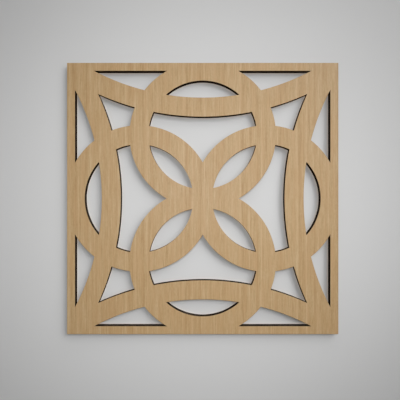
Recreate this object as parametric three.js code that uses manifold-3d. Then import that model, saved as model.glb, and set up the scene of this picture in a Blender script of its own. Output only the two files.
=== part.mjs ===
// Square fretwork grille, sawn out of one wooden sheet: a plain border, four rings that meet at the centre,
// and four shallow bows that run from corner to corner of the field inside the border.
// Millimetres, +Z up. The origin is the centre of the back face, which lies on the wall, and the front looks to -Y.
import * as THREE from "three";
import { mergeVertices } from "three/addons/utils/BufferGeometryUtils.js";
import Module from "manifold-3d";

// The sheet
const SHEET_WIDTH = 390.5;
const SHEET_HEIGHT = 390.5;
const SHEET_THICKNESS = 9.5;

// The pattern that is left standing
const BORDER_WIDTH = 11.9;
const RING_BAND_WIDTH = 28.0;
const BOW_BAND_WIDTH = 28.0;
const BOW_SAG = 51.9;

// How finely an arc is stepped: the most that a chord may fall inside its circle
const ARC_TOLERANCE = 0.03;
// How far a saw cut runs past each face of the sheet
const CUT_OVERRUN = 2.0;

// A symmetrical polygon needs a corner count that divides by this
const SYMMETRY_STEP = 8;
// A shape's arc is drawn with this many steps for each curve segment asked for
const STEPS_PER_CURVE_SEGMENT = 2;

const fieldHalfWidth = SHEET_WIDTH / 2 - BORDER_WIDTH;
const fieldHalfHeight = SHEET_HEIGHT / 2 - BORDER_WIDTH;

const wasm = await Module();
wasm.setup();

// A closed geometry as a solid that can be cut and joined
function toSolid(geometry) {
  const bare = geometry.index ? geometry.toNonIndexed() : geometry.clone();
  bare.deleteAttribute("normal");
  bare.deleteAttribute("uv");
  const merged = mergeVertices(bare, 1e-4);
  return new wasm.Manifold(
    new wasm.Mesh({
      numProp: 3,
      vertProperties: new Float32Array(merged.getAttribute("position").array),
      triVerts: new Uint32Array(merged.index.array),
    }),
  );
}

// A solid as a geometry that can be drawn
function toGeometry(solid) {
  const mesh = solid.getMesh();
  const geometry = new THREE.BufferGeometry();
  const positions = new THREE.BufferAttribute(new Float32Array(mesh.vertProperties), mesh.numProp);
  geometry.setAttribute("position", positions);
  geometry.setIndex(new THREE.BufferAttribute(new Uint32Array(mesh.triVerts), 1));
  const faceted = geometry.toNonIndexed();
  faceted.computeVertexNormals();
  return faceted;
}

// How many straight steps a full circle of this radius takes
function circleSteps(radius) {
  const steps = Math.PI / Math.acos(1 - ARC_TOLERANCE / radius);
  return SYMMETRY_STEP * Math.ceil(steps / SYMMETRY_STEP);
}

// A flat outline in the sheet's plane, made solid through the sheet and past both faces by overrun. Its full
// circles take the given number of steps.
function throughSheet(outline, overrun, steps = SYMMETRY_STEP) {
  const depth = SHEET_THICKNESS + 2 * overrun;
  const curveSegments = steps / STEPS_PER_CURVE_SEGMENT;
  const geometry = new THREE.ExtrudeGeometry(outline, { depth, bevelEnabled: false, curveSegments });
  geometry.rotateX(Math.PI / 2);
  geometry.translate(0, overrun, 0);
  return toSolid(geometry);
}

// A rectangle centred on the origin
function rectangle(halfWidth, halfHeight) {
  const outline = new THREE.Shape();
  outline.moveTo(-halfWidth, -halfHeight);
  outline.lineTo(halfWidth, -halfHeight);
  outline.lineTo(halfWidth, halfHeight);
  outline.lineTo(-halfWidth, halfHeight);
  outline.closePath();
  return outline;
}

// A round band of the given width along a circle
function roundBand(x, z, radius, bandWidth, overrun) {
  const outer = radius + bandWidth / 2;
  const inner = radius - bandWidth / 2;
  const outline = new THREE.Shape();
  outline.absarc(x, z, outer, 0, 2 * Math.PI, false);
  const hole = new THREE.Path();
  hole.absarc(x, z, inner, 0, 2 * Math.PI, true);
  outline.holes.push(hole);
  return throughSheet(outline, overrun, circleSteps(outer));
}

// The four sides of the field: the way out from the centre, how far off that side is, and half its length
const SIDES = [
  { x: 1, z: 0, reach: fieldHalfWidth, halfLength: fieldHalfHeight },
  { x: -1, z: 0, reach: fieldHalfWidth, halfLength: fieldHalfHeight },
  { x: 0, z: 1, reach: fieldHalfHeight, halfLength: fieldHalfWidth },
  { x: 0, z: -1, reach: fieldHalfHeight, halfLength: fieldHalfWidth },
];

// The ring of one side: its centre line runs from the sheet's centre out to the border's inner edge
function ringBand(side, overrun) {
  const radius = side.reach / 2;
  return roundBand(side.x * radius, side.z * radius, radius, RING_BAND_WIDTH, overrun);
}

// The bow of one side: its centre line joins two corners of the field and sags towards the centre
function bowBand(side, overrun) {
  const radius = (side.halfLength ** 2 + BOW_SAG ** 2) / (2 * BOW_SAG);
  const centre = side.reach - BOW_SAG + radius;
  return roundBand(side.x * centre, side.z * centre, radius, BOW_BAND_WIDTH, overrun);
}

// Everything that is sawn out: the field inside the border, less the rings and the bows
function sawnOut() {
  let openings = throughSheet(rectangle(fieldHalfWidth, fieldHalfHeight), CUT_OVERRUN);
  for (const side of SIDES) {
    openings = openings.subtract(ringBand(side, 2 * CUT_OVERRUN));
    openings = openings.subtract(bowBand(side, 2 * CUT_OVERRUN));
  }
  return openings;
}

function fretworkSheet() {
  const blank = throughSheet(rectangle(SHEET_WIDTH / 2, SHEET_HEIGHT / 2), 0);
  const material = new THREE.MeshStandardMaterial({ color: 0xb99b75, roughness: 0.55, metalness: 0 });
  const mesh = new THREE.Mesh(toGeometry(blank.subtract(sawnOut())), material);
  mesh.name = "fretwork_sheet";
  return mesh;
}

const grille = new THREE.Group();
grille.add(fretworkSheet());

export default grille;
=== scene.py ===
"""Looks of a square fretwork grille: one sheet of pale, straight-grained wood, sawn right through.

Lengths are in metres and +Z is up. The sheet's back lies at y = 0, just off a pale wall, and its front
looks to -Y, so its own plane is (x, z). Shaders work in millimetres.
"""

import logging
import math
from abc import ABC, abstractmethod
from collections.abc import Mapping, Sequence
from dataclasses import dataclass
from enum import Enum

import bpy
import numpy as np
from bpy.types import Material, Mesh, Node, NodeSocket, NodeTree, Object
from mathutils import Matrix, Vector
from mathutils.geometry import delaunay_2d_cdt


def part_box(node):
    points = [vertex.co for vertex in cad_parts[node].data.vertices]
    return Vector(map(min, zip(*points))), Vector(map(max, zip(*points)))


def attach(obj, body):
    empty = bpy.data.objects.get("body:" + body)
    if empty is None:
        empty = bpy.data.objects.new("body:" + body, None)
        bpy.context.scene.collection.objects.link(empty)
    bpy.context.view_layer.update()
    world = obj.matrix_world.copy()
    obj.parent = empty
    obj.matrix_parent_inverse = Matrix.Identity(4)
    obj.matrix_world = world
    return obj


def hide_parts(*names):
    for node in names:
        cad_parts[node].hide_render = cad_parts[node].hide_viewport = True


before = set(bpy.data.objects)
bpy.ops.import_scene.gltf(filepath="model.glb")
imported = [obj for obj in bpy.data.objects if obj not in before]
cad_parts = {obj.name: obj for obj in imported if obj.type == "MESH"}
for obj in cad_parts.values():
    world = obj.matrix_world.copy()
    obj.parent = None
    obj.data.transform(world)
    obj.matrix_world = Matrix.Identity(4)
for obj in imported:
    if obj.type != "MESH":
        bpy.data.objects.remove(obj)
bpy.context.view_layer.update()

log = logging.getLogger("fretwork_grille")

SHEET_NODE = "fretwork_sheet"

# The mesh attribute that says how far the saw's heat has reached
HEAT = "saw_heat"

MM = 0.001

# The height of a triangle with three equal sides, as a share of a side
TRIANGLE_HEIGHT = math.sqrt(0.75)

# However short a cut is, it is drawn with this many steps
LEAST_STEPS = 2

Point = tuple[float, float]
Place = tuple[float, float, float]
Colour = tuple[float, float, float]


# The saw cuts, as lines in the sheet's plane


class Cut(ABC):
    """One saw cut in the sheet's plane, with air on one side of it and wood on the other."""

    @abstractmethod
    def moved_in(self, inset: float) -> "Cut":
        """The same cut, moved into the wood by the inset."""

    @abstractmethod
    def heading(self, point: Point) -> Point:
        """The direction of travel at a point of the cut that keeps the air on the left."""

    @abstractmethod
    def depth(self, points: np.ndarray) -> np.ndarray:
        """How far each point lies on the wood's side of the cut, below 0 on the air's side."""

    @abstractmethod
    def step_length(self, tolerance: float) -> float:
        """The longest chord that strays from the cut by no more than the tolerance."""

    @abstractmethod
    def run(self, start: Point, end: Point) -> float:
        """The distance along the cut from start to end."""

    @abstractmethod
    def walk(self, start: Point, end: Point, steps: int) -> list[Point]:
        """Evenly spaced points along the cut, from start up to the last one before end."""


@dataclass(frozen=True)
class StraightCut(Cut):
    """A straight saw cut.

    Args:
        normal: Unit direction from the air into the wood.
        offset: Where the cut crosses the normal through the sheet's centre.
    """

    normal: Point
    offset: float

    def moved_in(self, inset: float) -> "StraightCut":
        """The same cut, moved into the wood by the inset."""
        return StraightCut(self.normal, self.offset + inset)

    def heading(self, point: Point) -> Point:
        """The direction of travel that keeps the air on the left."""
        return (-self.normal[1], self.normal[0])

    def depth(self, points: np.ndarray) -> np.ndarray:
        """How far each point lies on the wood's side of the cut."""
        return points @ np.array(self.normal) - self.offset

    def step_length(self, tolerance: float) -> float:
        """A straight cut has no longest chord."""
        return math.inf

    def run(self, start: Point, end: Point) -> float:
        """The distance from start to end."""
        return math.dist(start, end)

    def walk(self, start: Point, end: Point, steps: int) -> list[Point]:
        """Evenly spaced points from start up to the last one before end."""
        shares = [step / steps for step in range(steps)]
        return [(start[0] + t * (end[0] - start[0]), start[1] + t * (end[1] - start[1])) for t in shares]


@dataclass(frozen=True)
class RoundCut(Cut):
    """A round saw cut, the edge of a ring or a bow.

    Args:
        centre: Centre of its circle.
        radius: Radius of its circle.
        air_inside: Whether the air is inside the circle.
    """

    centre: Point
    radius: float
    air_inside: bool

    @property
    def turn(self) -> float:
        """1 where the way with the air on the left is counterclockwise, and -1 where it is clockwise."""
        return 1.0 if self.air_inside else -1.0

    def moved_in(self, inset: float) -> "RoundCut":
        """The same cut, moved into the wood by the inset."""
        return RoundCut(self.centre, self.radius + self.turn * inset, self.air_inside)

    def heading(self, point: Point) -> Point:
        """The direction of travel at a point that keeps the air on the left."""
        return (-self.turn * (point[1] - self.centre[1]), self.turn * (point[0] - self.centre[0]))

    def depth(self, points: np.ndarray) -> np.ndarray:
        """How far each point lies on the wood's side of the cut."""
        return self.turn * (np.linalg.norm(points - np.array(self.centre), axis=1) - self.radius)

    def step_length(self, tolerance: float) -> float:
        """The longest chord that strays from the arc by no more than the tolerance."""
        return math.sqrt(8.0 * self.radius * tolerance)

    def sweep(self, start: Point, end: Point) -> tuple[float, float]:
        """The angle at which the way from start to end begins, and the angle that it turns through."""
        first, last = (math.atan2(z - self.centre[1], x - self.centre[0]) for x, z in (start, end))
        return first, self.turn * ((self.turn * (last - first)) % math.tau)

    def run(self, start: Point, end: Point) -> float:
        """The distance along the arc from start to end."""
        return abs(self.sweep(start, end)[1]) * self.radius

    def walk(self, start: Point, end: Point, steps: int) -> list[Point]:
        """Draws the way along the arc.

        Args:
            start: Where it begins.
            end: Where it ends, which is not drawn.
            steps: How many even steps it takes.

        Returns:
            The points.
        """
        first, turned = self.sweep(start, end)
        angles = [first + turned * step / steps for step in range(steps)]
        x, z = self.centre
        return [(x + self.radius * math.cos(a), z + self.radius * math.sin(a)) for a in angles]


def dot(first: Point, second: Point) -> float:
    """The sum of the products of two points' coordinates."""
    return first[0] * second[0] + first[1] * second[1]


def crossings(first: Cut, second: Cut) -> list[Point]:
    """Finds where two cuts cross.

    Args:
        first: One cut.
        second: The other cut.

    Returns:
        One point where both are straight, and otherwise two.
    """
    if isinstance(first, StraightCut) and isinstance(second, StraightCut):
        x, z = np.linalg.solve([first.normal, second.normal], [first.offset, second.offset])
        return [(float(x), float(z))]
    if isinstance(first, StraightCut):
        return crossings(second, first)
    if isinstance(second, RoundCut):
        apart = math.dist(first.centre, second.centre)
        normal = tuple((b - a) / apart for a, b in zip(first.centre, second.centre))
        reach = (first.radius**2 - second.radius**2 + apart**2) / (2.0 * apart)
        return crossings(first, StraightCut(normal, dot(normal, first.centre) + reach))
    across = second.offset - dot(second.normal, first.centre)
    half_chord = math.sqrt(first.radius**2 - across**2)
    foot_x = first.centre[0] + across * second.normal[0]
    foot_z = first.centre[1] + across * second.normal[1]
    along = second.heading(first.centre)
    return [(foot_x + s * half_chord * along[0], foot_z + s * half_chord * along[1]) for s in (-1.0, 1.0)]


def corner(first: Cut, second: Cut) -> Point:
    """Finds the corner at which the way round an outline passes from one cut to the next.

    Args:
        first: The cut that ends there.
        second: The cut that begins there.

    Returns:
        The crossing where the way round turns left, or the only crossing.
    """
    met = crossings(first, second)
    for point in met:
        (ax, az), (bx, bz) = first.heading(point), second.heading(point)
        if ax * bz - az * bx > 0.0:
            return point
    return met[0]


@dataclass(frozen=True)
class Outline:
    """A closed round of cuts with the air on the left: one opening, or the sheet's own edge.

    Args:
        cuts: The cuts in their order round the outline.
        around_wood: Whether the wood is inside, as it is for the sheet's own edge.
    """

    cuts: tuple[Cut, ...]
    around_wood: bool = False

    def moved_in(self, inset: float) -> "Outline":
        """The same outline with every cut moved into the wood by the inset."""
        return Outline(tuple(cut.moved_in(inset) for cut in self.cuts), self.around_wood)

    def spans(self) -> list[tuple[Cut, Point, Point]]:
        """Each cut with the corners where it begins and ends."""
        starts = [corner(self.cuts[i - 1], self.cuts[i]) for i in range(len(self.cuts))]
        return list(zip(self.cuts, starts, starts[1:] + starts[:1]))

    def steps(self, tolerance: float, longest: float) -> list[int]:
        """Counts the steps that each cut is drawn with.

        Args:
            tolerance: How far a chord may stray from its arc.
            longest: The longest step on any cut.

        Returns:
            One count for each cut.
        """
        counts = []
        for cut, start, end in self.spans():
            step = min(longest, cut.step_length(tolerance))
            counts.append(max(LEAST_STEPS, math.ceil(cut.run(start, end) / step)))
        return counts

    def points(self, steps: Sequence[int]) -> list[Point]:
        """Draws the outline.

        Args:
            steps: The number of steps of each cut.

        Returns:
            The points round the outline.
        """
        drawn = []
        for (cut, start, end), count in zip(self.spans(), steps):
            drawn += cut.walk(start, end, count)
        return drawn

    def depth(self, points: np.ndarray, near: float) -> np.ndarray:
        """Measures how far inside the wood points lie from this outline.

        Args:
            points: The points, one to a row.
            near: How far round an opening it is measured; beyond that a point is as deep as can be.

        Returns:
            One depth for each point, below 0 in the air.
        """
        depths = np.stack([cut.depth(points) for cut in self.cuts])
        if self.around_wood:
            return depths.min(axis=0)
        drawn = np.array(self.points(self.steps(near, near)))
        close = (points > drawn.min(axis=0) - near) & (points < drawn.max(axis=0) + near)
        return np.where(close.all(axis=1), depths.max(axis=0), math.inf)


class Side(Enum):
    """The four sides of the sheet, counterclockwise for a viewer in front, each with its direction."""

    RIGHT = (1.0, 0.0)
    TOP = (0.0, 1.0)
    LEFT = (-1.0, 0.0)
    BOTTOM = (0.0, -1.0)

    @property
    def following(self) -> "Side":
        """The next side counterclockwise."""
        sides = list(Side)
        return sides[(sides.index(self) + 1) % len(sides)]

    @property
    def previous(self) -> "Side":
        """The next side clockwise."""
        sides = list(Side)
        return sides[sides.index(self) - 1]

    def at(self, distance: float) -> Point:
        """The point that far out from the centre towards this side."""
        return (self.value[0] * distance, self.value[1] * distance)


def band_edge(centre: Point, radius: float, band: float, air_inside: bool) -> RoundCut:
    """The inner edge of a round band along a circle, with the air inside it, or else its outer edge."""
    return RoundCut(centre, radius + (-0.5 if air_inside else 0.5) * band, air_inside)


@dataclass(frozen=True)
class FretworkPattern:
    """What is left standing of the sheet: a border, four rings that meet at the centre, and four bows.

    Args:
        half_width: Half the sheet's width.
        half_height: Half the sheet's height.
        border_width: Width of the plain border.
        ring_band: Width of a ring's band.
        bow_band: Width of a bow's band.
        bow_sag: How far the middle of a bow lies inside the border's inner edge.
    """

    half_width: float
    half_height: float
    border_width: float = 0.0119
    ring_band: float = 0.0280
    bow_band: float = 0.0280
    bow_sag: float = 0.0519

    def reach(self, side: Side) -> float:
        """How far the border's inner edge on this side is from the centre."""
        half = self.half_height if side.value[0] == 0.0 else self.half_width
        return half - self.border_width

    def border(self, side: Side) -> StraightCut:
        """The border's inner edge on this side."""
        return StraightCut(side.value, self.reach(side))

    def ring(self, side: Side, air_inside: bool) -> RoundCut:
        """An edge of this side's ring, whose centre line runs from the centre to the border."""
        radius = self.reach(side) / 2.0
        return band_edge(side.at(radius), radius, self.ring_band, air_inside)

    def bow(self, side: Side, air_inside: bool) -> RoundCut:
        """Sets out an edge of a bow, whose centre line joins two corners of the field inside the border.

        Args:
            side: The side that the bow lies along.
            air_inside: Whether it is the edge towards the border, or else the one towards the centre.

        Returns:
            The edge.
        """
        radius = (self.reach(side.following) ** 2 + self.bow_sag**2) / (2.0 * self.bow_sag)
        centre = side.at(self.reach(side) - self.bow_sag + radius)
        return band_edge(centre, radius, self.bow_band, air_inside)

    def side_openings(self, side: Side) -> list[Outline]:
        """Sets out the openings on one side of the centre.

        Args:
            side: The side.

        Returns:
            A crescent, a bay and two long triangles at the border.
        """
        hollow, bulge = self.ring(side, True), self.ring(side, False)
        before, after = self.ring(side.previous, False), self.ring(side.following, False)
        bow = self.bow(side, True)
        return [
            Outline((hollow, bow)),
            Outline((before, hollow, self.bow(side, False), hollow, after)),
            Outline((bow, self.border(side), bulge)),
            Outline((bulge, self.border(side), bow)),
        ]

    def corner_openings(self, side: Side) -> list[Outline]:
        """Sets out the openings towards the corner between a side and the next.

        Args:
            side: The side.

        Returns:
            A petal and a kite.
        """
        after = side.following
        petal = (self.ring(side, True), self.ring(after, True))
        bows = (self.bow(side, False), self.bow(after, False))
        return [Outline(petal), Outline((self.ring(side, False), *bows, self.ring(after, False)))]

    def outlines(self) -> list[Outline]:
        """Sets out every cut.

        Returns:
            The openings, and last the sheet's own edge.
        """
        found = []
        for side in Side:
            found += self.side_openings(side) + self.corner_openings(side)
        rim = []
        for side in reversed(Side):
            inward = (-side.value[0], -side.value[1])
            rim.append(StraightCut(inward, -self.reach(side) - self.border_width))
        return found + [Outline(tuple(rim), around_wood=True)]


# The sheet as a mesh


def placed_object(name: str, data: bpy.types.ID) -> Object:
    """Puts a new object into the scene.

    Args:
        name: Its name.
        data: Its mesh, light or camera.

    Returns:
        The object.
    """
    made = bpy.data.objects.new(name, data)
    bpy.context.scene.collection.objects.link(made)
    return made


class Zone(Enum):
    """The parts of the sheet's surface, by the material slot that each takes."""

    FRONT = 0
    CUT = 1
    BACK = 2


@dataclass(frozen=True)
class EdgeRow:
    """One row of points along every outline.

    Args:
        inset: How far into the wood it lies.
        y: Its place through the thickness.
        heat: How much the saw's heat has coloured it, from 0 to 1.
        zone: What the surface from this row to the next is.
        lean: By what share it lies further from the sheet's centre, at an opening.
    """

    inset: float
    y: float
    heat: float
    zone: Zone
    lean: float

    def scale(self, outline: Outline) -> float:
        """By how much the row is drawn larger at an outline. The sheet's own edge keeps its size."""
        return 1.0 if outline.around_wood else 1.0 + self.lean


@dataclass
class FretworkSheet:
    """The grille itself: both faces, the eased edges and the cut walls in one closed mesh.

    The kerf and the lean of the openings make the dark cut walls show as boldly as in the photograph.

    Args:
        pattern: The cuts.
        front_y: Where the front face lies.
        back_y: Where the back lies.
        front_ease: Radius of the eased edge at the front.
        ease_steps: Steps round that radius.
        back_ease: Width of the small chamfer at the back.
        kerf: How far an opening is cut into the wood beyond its drawn outline.
        front_spread: By what share the openings lie further from the centre at the front.
        back_pinch: By what share they lie nearer to it at the back.
        toast_width: How far from a cut the front is coloured by heat.
        smoke_width: How far from a cut the back is coloured by smoke.
        plies: Layers of wood through the thickness.
        arc_tolerance: How far a chord may stray from its arc.
        longest_step: The longest step along a cut.
        grid_step: Spacing of the points inside the faces.
        weld: How near two points may come before they count as one.
        sharp_angle: The bend above which an edge is drawn sharp, in degrees.
    """

    pattern: FretworkPattern
    front_y: float
    back_y: float
    front_ease: float = 0.12 * MM
    ease_steps: int = 4
    back_ease: float = 0.15 * MM
    kerf: float = 0.30 * MM
    front_spread: float = 0.0010
    back_pinch: float = 0.0022
    toast_width: float = 1.0 * MM
    smoke_width: float = 3.0 * MM
    plies: int = 7
    arc_tolerance: float = 0.008 * MM
    longest_step: float = 5.0 * MM
    grid_step: float = 7.0 * MM
    weld: float = 1e-8
    sharp_angle: float = 30.0

    def __post_init__(self) -> None:
        """Sets out the outlines and starts an empty mesh."""
        self.outlines: list[Outline] = self.pattern.outlines()
        self.steps: list[list[int]] = [
            outline.steps(self.arc_tolerance, self.longest_step) for outline in self.outlines
        ]
        self.vertices: list[Place] = []
        self.heats: list[float] = []
        self.faces: list[tuple[int, ...]] = []
        self.zones: list[int] = []

    def edge_rows(self) -> list[EdgeRow]:
        """Sets out the rows of points.

        Returns:
            The rows from the front face, over the eased edge and down the cut wall, to the back.
        """
        spread, pinch = self.front_spread, self.back_pinch
        rows = [EdgeRow(self.toast_width, self.front_y, 0.0, Zone.FRONT, spread)]
        for step in range(self.ease_steps + 1):
            angle = step / self.ease_steps * math.pi / 2.0
            inset = self.front_ease * (1.0 - math.sin(angle))
            sunk = self.front_ease * (1.0 - math.cos(angle))
            zone = Zone.CUT if step == self.ease_steps else Zone.FRONT
            rows.append(EdgeRow(inset, self.front_y + sunk, 1.0, zone, spread))
        thickness = self.back_y - self.front_y
        for ply in range(1, self.plies):
            share = ply / self.plies
            lean = spread - share * (spread + pinch)
            rows.append(EdgeRow(0.0, self.front_y + thickness * share, 1.0, Zone.CUT, lean))
        rows.append(EdgeRow(0.0, self.back_y - self.back_ease, 1.0, Zone.CUT, -pinch))
        rows.append(EdgeRow(self.back_ease, self.back_y, 1.0, Zone.BACK, -pinch))
        rows.append(EdgeRow(self.smoke_width, self.back_y, 0.0, Zone.BACK, -pinch))
        return rows

    def cut_line(self, row: EdgeRow, outline: Outline) -> Outline:
        """The line that a row follows at an outline, which lies further in by the kerf at an opening."""
        return outline.moved_in(row.inset if outline.around_wood else row.inset + self.kerf)

    def add_points(self, points: Sequence[Point], row: EdgeRow) -> list[int]:
        """Adds points to the mesh.

        Args:
            points: Their places in the sheet's plane.
            row: The row that gives their depth and their heat.

        Returns:
            Their numbers in the mesh.
        """
        first = len(self.vertices)
        self.vertices += [(x, row.y, z) for x, z in points]
        self.heats += [row.heat] * len(points)
        return list(range(first, len(self.vertices)))

    def add_face(self, corners: Sequence[int], zone: Zone) -> None:
        """Adds one face to a zone."""
        self.faces.append(tuple(corners))
        self.zones.append(zone.value)

    def add_row(self, row: EdgeRow) -> list[list[int]]:
        """Adds a row along every outline.

        Args:
            row: The row.

        Returns:
            The numbers of its points, outline by outline.
        """
        numbered = []
        for outline, steps in zip(self.outlines, self.steps):
            scale = row.scale(outline)
            drawn = self.cut_line(row, outline).points(steps)
            numbered.append(self.add_points([(scale * x, scale * z) for x, z in drawn], row))
        return numbered

    def join_rows(self, upper: list[list[int]], lower: list[list[int]], zone: Zone) -> None:
        """Fills the strip between two neighbouring rows with four-sided faces.

        Args:
            upper: The numbers of the points nearer to the front, outline by outline.
            lower: The numbers of the points nearer to the back.
            zone: What the strip is.
        """
        for above, below in zip(upper, lower):
            for i in range(len(above)):
                self.add_face((above[i - 1], above[i], below[i], below[i - 1]), zone)

    def wood_depth(self, points: np.ndarray) -> np.ndarray:
        """How far inside the wood each point of the sheet's plane lies."""
        return np.min([outline.depth(points, self.grid_step) for outline in self.outlines], axis=0)

    def grid_points(self, margin: float) -> list[Point]:
        """Sets out staggered points inside the wood.

        Args:
            margin: How far they keep from every cut.

        Returns:
            The points.
        """
        line_step = self.grid_step * TRIANGLE_HEIGHT
        columns = int(self.pattern.half_width / self.grid_step)
        lines = int(self.pattern.half_height / line_step)
        grid = [
            ((column + 0.5 * (line % 2)) * self.grid_step, line * line_step)
            for line in range(-lines, lines + 1)
            for column in range(-columns - 1, columns + 1)
        ]
        deep = self.wood_depth(np.array(grid)) > margin
        return [point for point, kept in zip(grid, deep) if kept]

    def cover(self, row: EdgeRow, loops: list[list[int]], facing_front: bool) -> None:
        """Closes a face of the sheet inside the given row with triangles.

        Args:
            row: The row that bounds the face.
            loops: The numbers of its points, outline by outline.
            facing_front: Whether the face looks to the front.
        """
        inner = self.add_points(self.grid_points(row.inset + 0.5 * self.grid_step), row)
        numbers = [number for loop in loops for number in loop] + inner
        place = {number: i for i, number in enumerate(numbers)}
        borders = [(place[loop[i - 1]], place[loop[i]]) for loop in loops for i in range(len(loop))]
        flat = [Vector((self.vertices[number][0], self.vertices[number][2])) for number in numbers]
        found, _, triangles, origins, _, _ = delaunay_2d_cdt(flat, borders, [], 0, self.weld)
        plane = np.array([tuple(point) for point in found])
        middles = np.array([plane[list(triangle)].mean(axis=0) for triangle in triangles])
        kept = self.inside_row(middles, row)
        for triangle, keep in zip(triangles, kept):
            if keep:
                ends = [numbers[origins[i][0]] for i in triangle]
                self.add_face(ends if facing_front else ends[::-1], row.zone)

    def inside_row(self, points: np.ndarray, row: EdgeRow) -> np.ndarray:
        """Tells which points lie on the wood's side of a row.

        Args:
            points: The points, one to a row of the array.
            row: The row of points along every outline.

        Returns:
            True or false for each point.
        """
        depths = []
        for outline in self.outlines:
            drawn = points / row.scale(outline)
            depths.append(self.cut_line(row, outline).depth(drawn, self.grid_step))
        return np.min(depths, axis=0) > 0.0

    def mesh(self) -> Mesh:
        """Builds the sheet.

        Returns:
            One closed mesh.
        """
        rows = self.edge_rows()
        numbered = [self.add_row(row) for row in rows]
        for i in range(len(rows) - 1):
            self.join_rows(numbered[i], numbered[i + 1], rows[i].zone)
        self.cover(rows[0], numbered[0], facing_front=True)
        self.cover(rows[-1], numbered[-1], facing_front=False)
        mesh = bpy.data.meshes.new("grille_sheet")
        mesh.from_pydata(self.vertices, [], self.faces)
        mesh.polygons.foreach_set("material_index", self.zones)
        mesh.attributes.new(HEAT, "FLOAT", "POINT").data.foreach_set("value", self.heats)
        mesh.shade_smooth()
        mesh.set_sharp_from_angle(angle=math.radians(self.sharp_angle))
        mesh.validate()
        return mesh

    def piece(self, finishes: Mapping[Zone, Material]) -> Object:
        """Builds the sheet and dresses it.

        Args:
            finishes: The material of each zone.

        Returns:
            The sheet.
        """
        mesh = self.mesh()
        for zone in Zone:
            mesh.materials.append(finishes[zone])
        return placed_object(mesh.name, mesh)


# Shaders, written as sums


class Wire:
    """The output of a shader node, so that sums on it can be written as Python."""

    def __init__(self, bench: "Bench", socket: NodeSocket) -> None:
        """Wraps a socket of the bench's node tree."""
        self.bench = bench
        self.socket = socket

    def maths(self, operation: str, *values: "Wire | float") -> "Wire":
        """The result of a Math node of that operation on the values."""
        return self.bench.node("ShaderNodeMath", {"operation": operation}, dict(enumerate(values)))[0]

    def __add__(self, other: "Wire | float") -> "Wire":
        """This value plus the other."""
        return self.maths("ADD", self, other)

    def __radd__(self, other: float) -> "Wire":
        """The other value plus this."""
        return self.maths("ADD", other, self)

    def __sub__(self, other: "Wire | float") -> "Wire":
        """This value minus the other."""
        return self.maths("SUBTRACT", self, other)

    def __rsub__(self, other: float) -> "Wire":
        """The other value minus this."""
        return self.maths("SUBTRACT", other, self)

    def __mul__(self, other: "Wire | float") -> "Wire":
        """This value times the other."""
        return self.maths("MULTIPLY", self, other)

    def __rmul__(self, other: float) -> "Wire":
        """The other value times this."""
        return self.maths("MULTIPLY", other, self)

    def __truediv__(self, other: "Wire | float") -> "Wire":
        """This value divided by the other."""
        return self.maths("DIVIDE", self, other)

    def __rtruediv__(self, other: float) -> "Wire":
        """The other value divided by this."""
        return self.maths("DIVIDE", other, self)

    def __pow__(self, power: "Wire | float") -> "Wire":
        """This value to a power."""
        return self.maths("POWER", self, power)

    def __rpow__(self, base: float) -> "Wire":
        """The base to the power of this value."""
        return self.maths("POWER", base, self)

    def floor(self) -> "Wire":
        """The whole number below this value."""
        return self.maths("FLOOR", self)

    def ramped(self, low: float, high: float) -> "Wire":
        """A smooth rise from 0 at low to 1 at high."""
        inputs = {"Value": self, "From Min": low, "From Max": high}
        return self.bench.node("ShaderNodeMapRange", {"interpolation_type": "SMOOTHSTEP"}, inputs)[0]


def pick(sockets: Sequence[NodeSocket], key: str | int) -> NodeSocket:
    """Finds a socket among those that a node's settings leave in use.

    Args:
        sockets: The node's inputs or outputs.
        key: The socket's name, or its number among those in use.

    Returns:
        The socket.
    """
    usable = [socket for socket in sockets if not socket.is_unavailable]
    if isinstance(key, int):
        return usable[key]
    return next(socket for socket in usable if socket.name == key)


class Placed:
    """A node that has been put on a bench."""

    def __init__(self, bench: "Bench", node: Node) -> None:
        """Wraps a node of the bench's tree."""
        self.bench = bench
        self.node = node

    def __getitem__(self, key: str | int) -> Wire:
        """The output of that name, or that number among the outputs in use."""
        return Wire(self.bench, pick(self.node.outputs, key))


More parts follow.
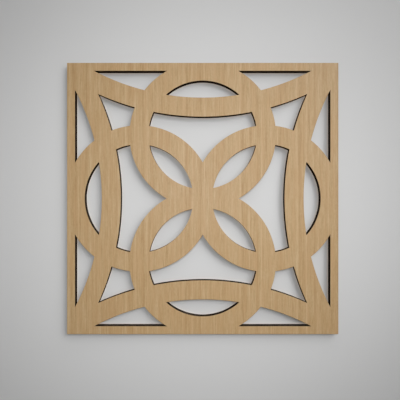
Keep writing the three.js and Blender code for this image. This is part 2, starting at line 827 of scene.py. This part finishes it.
class Bench:
    """The node tree of one material, or of the empty room."""

    def __init__(self, tree: NodeTree) -> None:
        """Takes over the tree and clears it."""
        self.tree = tree
        tree.nodes.clear()

    def node(
        self,
        kind: str,
        settings: Mapping[str, object] | None = None,
        inputs: Mapping[str | int, object] | None = None,
    ) -> Placed:
        """Puts a node on the bench.

        Args:
            kind: The node's type.
            settings: Its settings, which are set first. A ramp's stops are pairs of a place and a grey.
            inputs: A value or a wire for each socket, by name or by number.

        Returns:
            The node.
        """
        made = self.tree.nodes.new(kind)
        for name, setting in (settings or {}).items():
            if name == "stops":
                self.set_stops(made, setting)
            else:
                setattr(made, name, setting)
        for key, value in (inputs or {}).items():
            socket = pick(made.inputs, key)
            if isinstance(value, Wire):
                self.tree.links.new(value.socket, socket)
            else:
                socket.default_value = value
        return Placed(self, made)

    @staticmethod
    def set_stops(ramp: Node, stops: Sequence[tuple[float, float]]) -> None:
        """Gives a colour ramp its stops.

        Args:
            ramp: The ramp.
            stops: The place and the grey of each stop.
        """
        elements = ramp.color_ramp.elements
        while len(elements) < len(stops):
            elements.new(0.5)
        for element, (place, grey) in zip(elements, sorted(stops)):
            element.position = place
            element.color = (grey, grey, grey, 1.0)

    def stretched(self, vector: Wire, sizes: Place) -> Wire:
        """Measures a place in cells.

        Args:
            vector: The place.
            sizes: The size of a cell along x, y and z.

        Returns:
            How many cells it is along each.
        """
        cells = tuple(1.0 / size for size in sizes)
        inputs = {0: vector, 1: cells}
        return self.node("ShaderNodeVectorMath", {"operation": "MULTIPLY"}, inputs)["Vector"]

    def noise(self, vector: Wire, detail: float) -> Wire:
        """Soft noise from -1 to 1, one cell to a unit of the vector."""
        inputs = {"Vector": vector, "Scale": 1.0, "Detail": detail}
        return self.node("ShaderNodeTexNoise", {"normalize": False}, inputs)[0]

    def joined(self, x: Wire | float, y: Wire | float, z: Wire | float) -> Wire:
        """A vector of three values."""
        return self.node("ShaderNodeCombineXYZ", inputs={0: x, 1: y, 2: z})[0]

    def blended(self, share: Wire | float, first: Wire | Colour, second: Wire | Colour) -> Wire:
        """Mixes two colours.

        Args:
            share: The share of the second.
            first: One colour.
            second: The other colour.

        Returns:
            The colour between them.
        """
        ends = [end if isinstance(end, Wire) else (*end, 1.0) for end in (first, second)]
        inputs = {"Factor": share, "A": ends[0], "B": ends[1]}
        return self.node("ShaderNodeMix", {"data_type": "RGBA"}, inputs)[0]

    def bumped(self, height: Wire, distance: float) -> Wire:
        """A normal that follows a height, where a height of 1 stands the distance proud."""
        return self.node("ShaderNodeBump", inputs={"Height": height, "Distance": distance})["Normal"]

    def place(self) -> Wire:
        """The place on the object in millimetres."""
        return self.stretched(self.node("ShaderNodeTexCoord")["Object"], (MM, MM, MM))

    def heat(self) -> Wire:
        """How far the saw's heat has reached, from 0 to 1."""
        return self.node("ShaderNodeAttribute", {"attribute_name": HEAT})["Fac"]

    def matt(self, paint: Colour) -> Wire:
        """A matt shader of one colour."""
        return self.node("ShaderNodeBsdfDiffuse", inputs={"Color": (*paint, 1.0)})[0]

    def finish(self, surface: Wire) -> None:
        """Makes a shader the material's surface."""
        self.node("ShaderNodeOutputMaterial", inputs={"Surface": surface})


def new_bench(name: str) -> tuple[Material, Bench]:
    """Starts a material.

    Args:
        name: Its name.

    Returns:
        The material and the bench that holds its nodes.
    """
    material = bpy.data.materials.new(name)
    material.use_nodes = True
    return material, Bench(material.node_tree)


@dataclass(frozen=True)
class GrainNoise:
    """Noise that is drawn out along the grain.

    Args:
        across: Width of its cells, in millimetres.
        along: Length of its cells, in millimetres.
        shift: How far into the noise it starts, so that no two are alike.
        share: How strongly it shows.
        detail: How many finer noises are laid over it.
    """

    across: float
    along: float
    shift: float
    share: float = 0.0
    detail: float = 2.0

    def at(self, x: Wire, z: Wire, seed: Wire | float) -> Wire:
        """The noise at a distance across the grain and a distance along it."""
        bench = x.bench
        return bench.noise(bench.joined(x / self.across, seed + self.shift, z / self.along), self.detail)


# The noises of the grain, from the broadest to the finest
WANDER = GrainNoise(across=40.0, along=260.0, shift=0.0, detail=1.0)
BROAD = GrainNoise(across=30.0, along=320.0, shift=3.0, share=0.22)
FADE = GrainNoise(across=6.0, along=150.0, shift=7.0, share=0.25, detail=1.0)
HUE = GrainNoise(across=5.0, along=60.0, shift=15.0, share=0.55)
SHADES = GrainNoise(across=5.0, along=70.0, shift=9.0, share=0.46)
STROKES = GrainNoise(across=1.45, along=21.0, shift=5.0, share=0.74)
LINES = GrainNoise(across=1.35, along=160.0, shift=0.0, share=0.54)
FLECKS = GrainNoise(across=1.3, along=4.0, shift=13.0, share=0.42, detail=1.0)
FIBRES = GrainNoise(across=0.38, along=26.0, shift=11.0, share=0.70)
PORES = GrainNoise(across=0.24, along=8.0, shift=19.0, share=0.30, detail=1.0)


@dataclass(frozen=True)
class Streak:
    """One streak of the grain that comes back in each leaf of veneer.

    Args:
        place: Its distance from the leaf's left edge, in millimetres.
        width: Half its width, in millimetres.
        tone: How pale it is, from -1 for dark to 1 for pale.
    """

    place: float
    width: float
    tone: float


FIGURE = (
    Streak(1.8, 1.7, 1.0),
    Streak(16.5, 1.2, 0.7),
    Streak(22.4, 2.6, -0.3),
    Streak(30.3, 2.4, -0.7),
    Streak(42.4, 1.6, 0.4),
    Streak(53.6, 2.0, 1.0),
    Streak(58.2, 2.6, -1.0),
    Streak(62.7, 1.9, -0.5),
    Streak(66.9, 1.9, 1.0),
    Streak(78.6, 1.8, -0.9),
)


@dataclass(frozen=True)
class VeneerFinish:
    """Pale, straight-grained veneer, laid in leaves cut one after the other, so the same figure returns.

    Args:
        name: The material's name.
        dark: Colour of the dark grain.
        pale: Colour of the pale grain.
        blush: Colour of the ruddier stretches.
        toast: Colour of wood that heat or smoke has reached.
        toast_power: How fast that colour fades away from the cut.
        toast_share: How strong that colour is at the cut.
        figure_share: How strongly the figure shows.
        streak_share: How strong a streak is where it neither fades nor deepens.
        leaf_width: Width of a leaf, in millimetres.
        leaf_start: Where a leaf begins, in millimetres from the sheet's centre.
        leaf_shift: How far the noise moves on from one leaf to the next.
        wander: How far the grain wanders from a straight line, in millimetres.
        tone_reach: How far the tone reaches, up to the pale grain and down to the dark.
        blush_range: Where in its noise the blush begins and where it is full.
        pore_range: Where in its noise a pore begins and where it is full.
        roughness: Roughness of the surface.
        tone_sheen: How much smoother the pale grain is.
        pore_roughness: How much rougher a pore is.
        relief: Depth of a pore, in millimetres.
        fibre_relief: Height of the fibres, as a share of that.
        line_relief: Height of the lines, as a share of that.
        seed: Where in the noises the finish starts.
    """

    name: str
    dark: Colour
    pale: Colour
    blush: Colour
    toast: Colour
    toast_power: float
    toast_share: float
    figure_share: float
    streak_share: float = 0.68
    leaf_width: float = 82.0
    leaf_start: float = 0.4
    leaf_shift: float = 0.21
    wander: float = 1.2
    tone_reach: float = 1.5
    blush_range: Point = (-0.5, 0.6)
    pore_range: Point = (0.34, 0.62)
    roughness: float = 0.47
    tone_sheen: float = 0.03
    pore_roughness: float = 0.1
    relief: float = 0.03
    fibre_relief: float = 0.5
    line_relief: float = 0.25
    seed: float = 0.0

    def figure(self, across: Wire) -> Wire:
        """Draws the streaks.

        Args:
            across: The distance into the leaf, in millimetres.

        Returns:
            Their tone, from -1 to 1.
        """
        middle = 0.5
        stops = [(0.0, middle), (1.0, middle)]
        for streak in FIGURE:
            stops.append(((streak.place - streak.width) / self.leaf_width, middle))
            stops.append((streak.place / self.leaf_width, middle + middle * streak.tone))
            stops.append(((streak.place + streak.width) / self.leaf_width, middle))
        inputs = {0: across / self.leaf_width}
        ramp = across.bench.node("ShaderNodeValToRGB", {"stops": stops}, inputs)["Color"]
        grey = across.bench.node("ShaderNodeRGBToBW", inputs={0: ramp})[0]
        return (grey - middle) / middle

    def material(self) -> Material:
        """Builds the finish.

        Returns:
            The material.
        """
        material, bench = new_bench(self.name)
        place = bench.node("ShaderNodeSeparateXYZ", inputs={0: bench.place()})
        x, z, seed = place["X"], place["Z"], self.seed
        leaves = (x + WANDER.at(x, z, seed) * self.wander - self.leaf_start) / self.leaf_width
        leaf = leaves.floor()
        across = (leaves - leaf) * self.leaf_width
        leaf_seed = leaf * self.leaf_shift + seed
        lines = LINES.at(across, z, leaf_seed)
        fibres = FIBRES.at(x, z, seed)
        pores = PORES.at(x, z, seed).ramped(*self.pore_range)

        streak = self.streak_share + FADE.share * FADE.at(across, z, leaf_seed)
        tone = self.figure(across) * streak * self.figure_share
        tone = tone + BROAD.at(x, z, seed) * BROAD.share + lines * LINES.share
        for noise in (STROKES, SHADES, FLECKS):
            tone = tone + noise.at(x, z, seed) * noise.share
        tone = tone + fibres * FIBRES.share

        grain = bench.blended(tone.ramped(-self.tone_reach, self.tone_reach), self.dark, self.pale)
        blush = HUE.at(x, z, seed).ramped(*self.blush_range) * HUE.share
        blushed = bench.blended(blush, grain, self.blush)
        pored = bench.blended(pores * PORES.share, blushed, self.dark)
        scorch = bench.heat() ** self.toast_power * self.toast_share
        height = fibres * self.fibre_relief + lines * self.line_relief - pores
        shader = bench.node(
            "ShaderNodeBsdfPrincipled",
            inputs={
                "Base Color": bench.blended(scorch, pored, self.toast),
                "Roughness": self.roughness - tone * self.tone_sheen + pores * self.pore_roughness,
                "Normal": bench.bumped(height, self.relief * MM),
            },
        )
        bench.finish(shader[0])
        return material


@dataclass(frozen=True)
class CharredCut:
    """The wall of a cut, charred dark brown, with fine marks across its thickness and faint layers.

    Args:
        name: The material's name.
        soot: Colour of the darkest char.
        umber: Colour where the char is thin.
        front_y: Where the front face lies, in millimetres.
        ply: Thickness of one layer, in millimetres.
        cloud_cells: Size of the clouds in the char along x, y and z, in millimetres.
        mark_cells: Size of the saw's marks, likewise.
        thinness: How thin the char is on the whole.
        cloud_share: How much the clouds thin it.
        mark_share: How much the marks thin it.
        ply_share: How much thinner it is on every other layer.
        roughness: Roughness of the thick char.
        thin_sheen: How much smoother the thin char is.
        relief: Height of the marks, in millimetres.
        ply_relief: How far every other layer stands proud, as a share of that.
    """

    name: str
    soot: Colour
    umber: Colour
    front_y: float
    ply: float
    cloud_cells: Place = (9.0, 4.0, 9.0)
    mark_cells: Place = (0.45, 7.0, 0.45)
    thinness: float = 0.2
    cloud_share: float = 0.35
    mark_share: float = 0.30
    ply_share: float = 0.25
    roughness: float = 0.82
    thin_sheen: float = 0.12
    relief: float = 0.05
    ply_relief: float = 0.5

    def material(self) -> Material:
        """Builds the finish.

        Returns:
            The material.
        """
        material, bench = new_bench(self.name)
        place = bench.place()
        depth = bench.node("ShaderNodeSeparateXYZ", inputs={0: place})["Y"] - self.front_y
        layers = (depth / self.ply).floor()
        every_other = layers - (layers / 2.0).floor() * 2.0
        clouds = bench.noise(bench.stretched(place, self.cloud_cells), detail=3.0)
        marks = bench.noise(bench.stretched(place, self.mark_cells), detail=2.0)
        bared = clouds * self.cloud_share + marks * self.mark_share + every_other * self.ply_share
        thin = (bared + self.thinness).ramped(0.0, 1.0)
        shader = bench.node(
            "ShaderNodeBsdfPrincipled",
            inputs={
                "Base Color": bench.blended(thin, self.soot, self.umber),
                "Roughness": self.roughness - thin * self.thin_sheen,
                "Specular IOR Level": 0.0,
                "Normal": bench.bumped(marks + every_other * self.ply_relief, self.relief * MM),
            },
        )
        bench.finish(shader[0])
        return material


# The room, the lights and the camera


@dataclass(frozen=True)
class Room:
    """The pale wall behind the sheet and a pale floor well below it. Neither is part of the object.

    Args:
        wall_paint: Colour of the wall.
        floor_paint: Colour of the floor.
        wall_gap: Gap between the sheet's back and the wall.
        half_width: Half the width of the wall and the floor.
        top: Height of the wall above the sheet's centre.
        floor_drop: How far the floor is below the sheet's centre.
        floor_depth: How far the floor runs before and behind the sheet.
        sky: Colour of the empty room behind everything.
        sky_light: Strength of the light that the empty room gives.
    """

    wall_paint: Colour = (0.800, 0.799, 0.795)
    floor_paint: Colour = (0.74, 0.74, 0.73)
    wall_gap: float = 1.5 * MM
    half_width: float = 4.0
    top: float = 3.0
    floor_drop: float = 0.75
    floor_depth: float = 5.0
    sky: Colour = (0.60, 0.60, 0.59)
    sky_light: float = 0.037

    def quad(self, name: str, first: Point, last: Point, paint: Material) -> Object:
        """Sets up a flat stage piece as wide as the room.

        Args:
            name: Its name.
            first: The y and z of one edge that runs across the room.
            last: The y and z of the other.
            paint: Its material.

        Returns:
            The piece.
        """
        mesh = bpy.data.meshes.new(name)
        left, right = -self.half_width, self.half_width
        corners = [(left, *first), (right, *first), (right, *last), (left, *last)]
        mesh.from_pydata(corners, [], [(0, 1, 2, 3)])
        mesh.materials.append(paint)
        made = placed_object(name, mesh)
        return made

    def wall(self) -> Object:
        """Sets up the wall. It is there for a viewer in front, and casts no shadow on the sheet's back.

        Returns:
            The wall.
        """
        material, bench = new_bench("wall_paint")
        nothing = bench.node("ShaderNodeBsdfTransparent")[0]
        behind = bench.node("ShaderNodeNewGeometry")["Backfacing"]
        inputs = {0: behind, 1: bench.matt(self.wall_paint), 2: nothing}
        bench.finish(bench.node("ShaderNodeMixShader", inputs=inputs)[0])
        foot, head = (self.wall_gap, -self.floor_drop), (self.wall_gap, self.top)
        made = self.quad("stage_wall", foot, head, material)
        made.visible_shadow = False
        return made

    def floor(self) -> Object:
        """Sets up the floor. It throws no light back, as a low lamp gives the floor's light instead.

        Returns:
            The floor.
        """
        material, bench = new_bench("floor_paint")
        bench.finish(bench.matt(self.floor_paint))
        near, far = (-self.floor_depth, -self.floor_drop), (self.floor_depth, -self.floor_drop)
        made = self.quad("stage_floor", near, far, material)
        made.visible_diffuse = False
        return made

    def surround(self) -> None:
        """Sets up what lies beyond the wall and the floor: a plain grey that gives a faint even light."""
        world = bpy.data.worlds.new("empty_room")
        world.use_nodes = True
        bench = Bench(world.node_tree)
        colour = {"Color": (*self.sky, 1.0)}
        seen = bench.node("ShaderNodeBackground", inputs=colour)[0]
        lit = bench.node("ShaderNodeBackground", inputs={**colour, "Strength": self.sky_light})[0]
        direct = bench.node("ShaderNodeLightPath")["Is Camera Ray"]
        mixed = bench.node("ShaderNodeMixShader", inputs={0: direct, 1: lit, 2: seen})[0]
        bench.node("ShaderNodeOutputWorld", inputs={"Surface": mixed})
        bpy.context.scene.world = world

    def build(self) -> list[Object]:
        """Sets up the empty room, and returns its wall and its floor."""
        self.surround()
        return [self.wall(), self.floor()]


class LampKind(Enum):
    """The kinds of lamp, by the type of light that each is made with."""

    PANEL = "AREA"
    CONE = "SPOT"
    DAYLIGHT = "SUN"


@dataclass(frozen=True)
class Lamp:
    """A soft lamp.

    Args:
        name: Its name.
        kind: Whether it is a round panel, throws a cone with a soft edge, or is daylight from afar.
        place: Where it stands.
        power: Its power in watts, or in watts for each square metre for daylight.
        opening: The angle that its light opens to, or that the daylight comes from, in radians.
        width: Its diameter. Daylight has none.
        aim: The point that it faces.
    """

    name: str
    kind: LampKind
    place: Place
    power: float
    opening: float
    width: float = 0.0
    aim: Place = (0.0, 0.0, 0.0)

    def build(self) -> Object:
        """Puts the lamp up.

        Returns:
            The lamp.
        """
        light = bpy.data.lights.new(self.name, self.kind.value)
        light.energy = self.power
        if self.kind is LampKind.PANEL:
            light.shape = "DISK"
            light.size = self.width
            light.spread = self.opening
        elif self.kind is LampKind.DAYLIGHT:
            light.angle = self.opening
        else:
            light.shadow_soft_size = self.width / 2.0
            light.spot_size = self.opening
            light.spot_blend = 1.0
        made = placed_object(self.name, light)
        made.location = self.place
        made.rotation_euler = (Vector(self.aim) - made.location).to_track_quat("-Z", "Y").to_euler()
        made.visible_camera = False
        return made


PANEL = LampKind.PANEL

# The soft light on the wall and the sheet's shadows on it follow the photograph
LAMPS = (
    Lamp("lamp_front", LampKind.CONE, (-0.030, -0.681, 0.052), 4.652, 1.287, 0.06, (-0.016, 0.0, -0.009)),
    Lamp("lamp_right_low", PANEL, (0.291, -0.277, 0.063), 0.015, 1.40, 0.306, (-0.105, 0.0, -0.150)),
    Lamp("lamp_right_large", PANEL, (0.336, -0.884, 0.307), 0.599, 1.00, 1.402, (-0.143, 0.0, 0.039)),
    Lamp("lamp_right_far", PANEL, (0.900, -0.815, 0.134), 0.365, 1.00, 0.856, (0.066, 0.0, -0.121)),
    Lamp("lamp_high_right", PANEL, (0.700, -1.100, 0.700), 0.211, 1.00, 0.600, (-0.040, 0.0, -0.040)),
    Lamp("lamp_high_front", PANEL, (0.500, -1.500, 0.600), 0.323, 0.80, 0.800, (-0.040, 0.0, -0.040)),
    Lamp("lamp_high_far", PANEL, (0.900, -0.900, 1.300), 3.184, math.pi, 0.800),
    Lamp("lamp_high_left", PANEL, (-0.500, -0.800, 0.500), 0.301, math.pi, 0.500),
    Lamp("lamp_low_left", PANEL, (-0.600, -0.800, -0.600), 0.186, math.pi, 0.600),
    Lamp("lamp_top", PANEL, (0.148, -0.775, 1.316), 3.618, 3.09, 1.341, (-0.071, 0.0, -0.035)),
    Lamp("lamp_low", PANEL, (0.107, -0.800, -0.740), 0.709, math.pi, 1.560, (0.107, -0.800, 1.0)),
    Lamp("lamp_behind", LampKind.DAYLIGHT, (0.9, 1.8, 1.5), 2.3, 0.6),
)


@dataclass(frozen=True)
class Viewpoint:
    """The camera, straight in front, placed from where the sheet lies in a frame of 400 x 400 pixels.

    Args:
        frame_side_px: Side of the frame.
        sheet_centre_px: Where the sheet's centre lies in it.
        sheet_half_px: Half the side of the sheet's front face.
        focal_length_px: Focal length.
        sensor_mm: Width of the sensor.
        clip_start: The least distance at which a thing is seen.
    """

    frame_side_px: float = 400.0
    sheet_centre_px: Point = (202.67, 198.53)
    sheet_half_px: float = 135.635
    focal_length_px: float = 431.6
    sensor_mm: float = 36.0
    clip_start: float = 0.01

    def build(self, half_width: float, front_y: float) -> Object:
        """Puts the camera up.

        Args:
            half_width: Half the sheet's width.
            front_y: Where the front face lies.

        Returns:
            The camera.
        """
        pixel = half_width / self.sheet_half_px
        data = bpy.data.cameras.new("camera")
        data.sensor_width = self.sensor_mm
        data.lens = self.focal_length_px / self.frame_side_px * self.sensor_mm
        data.clip_start = self.clip_start
        middle = self.frame_side_px / 2.0
        across = (middle - self.sheet_centre_px[0]) * pixel
        up = (self.sheet_centre_px[1] - middle) * pixel
        made = placed_object("camera", data)
        made.location = (across, front_y - self.focal_length_px * pixel, up)
        made.rotation_euler = (math.pi / 2.0, 0.0, 0.0)
        bpy.context.scene.camera = made
        return made


FRONT_VENEER = VeneerFinish(
    name="front_veneer",
    dark=(0.480, 0.283, 0.111),
    pale=(0.667, 0.486, 0.270),
    blush=(0.584, 0.365, 0.174),
    toast=(0.22, 0.12, 0.05),
    toast_power=6.0,
    toast_share=0.25,
    figure_share=1.0,
)

BACK_VENEER = VeneerFinish(
    name="back_veneer",
    dark=(0.455, 0.300, 0.155),
    pale=(0.620, 0.440, 0.250),
    blush=(0.540, 0.345, 0.180),
    toast=(0.20, 0.12, 0.06),
    toast_power=2.2,
    toast_share=0.6,
    figure_share=0.35,
    roughness=0.68,
    seed=40.0,
)


def main() -> None:
    """Builds the grille, the room, the lamps and the camera."""
    logging.basicConfig(level=logging.INFO, format="%(name)s: %(message)s")
    low, high = (Vector(end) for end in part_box(SHEET_NODE))
    pattern = FretworkPattern(half_width=high.x, half_height=high.z)
    sheet = FretworkSheet(pattern, front_y=low.y, back_y=high.y)
    charred = CharredCut(
        name="charred_cut",
        soot=(0.010, 0.007, 0.005),
        umber=(0.075, 0.055, 0.042),
        front_y=low.y / MM,
        ply=(high.y - low.y) / MM / sheet.plies,
    )
    finishes = {
        Zone.FRONT: FRONT_VENEER.material(),
        Zone.CUT: charred.material(),
        Zone.BACK: BACK_VENEER.material(),
    }
    piece = sheet.piece(finishes)
    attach(piece, "root")
    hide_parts(SHEET_NODE)
    log.info("%s: %d faces round %d outlines", piece.name, len(piece.data.polygons), len(sheet.outlines))

    for stage_piece in Room().build():
        log.info("%s is stage", stage_piece.name)
    for lamp in LAMPS:
        log.info("%s is lit", lamp.build().name)
    camera = Viewpoint().build(pattern.half_width, sheet.front_y)
    bpy.context.scene.view_settings.view_transform = "Standard"
    log.info("camera at %.3f, %.3f, %.3f m with a %.1f mm lens", *camera.location, camera.data.lens)


if __name__ == "__main__":
    main()
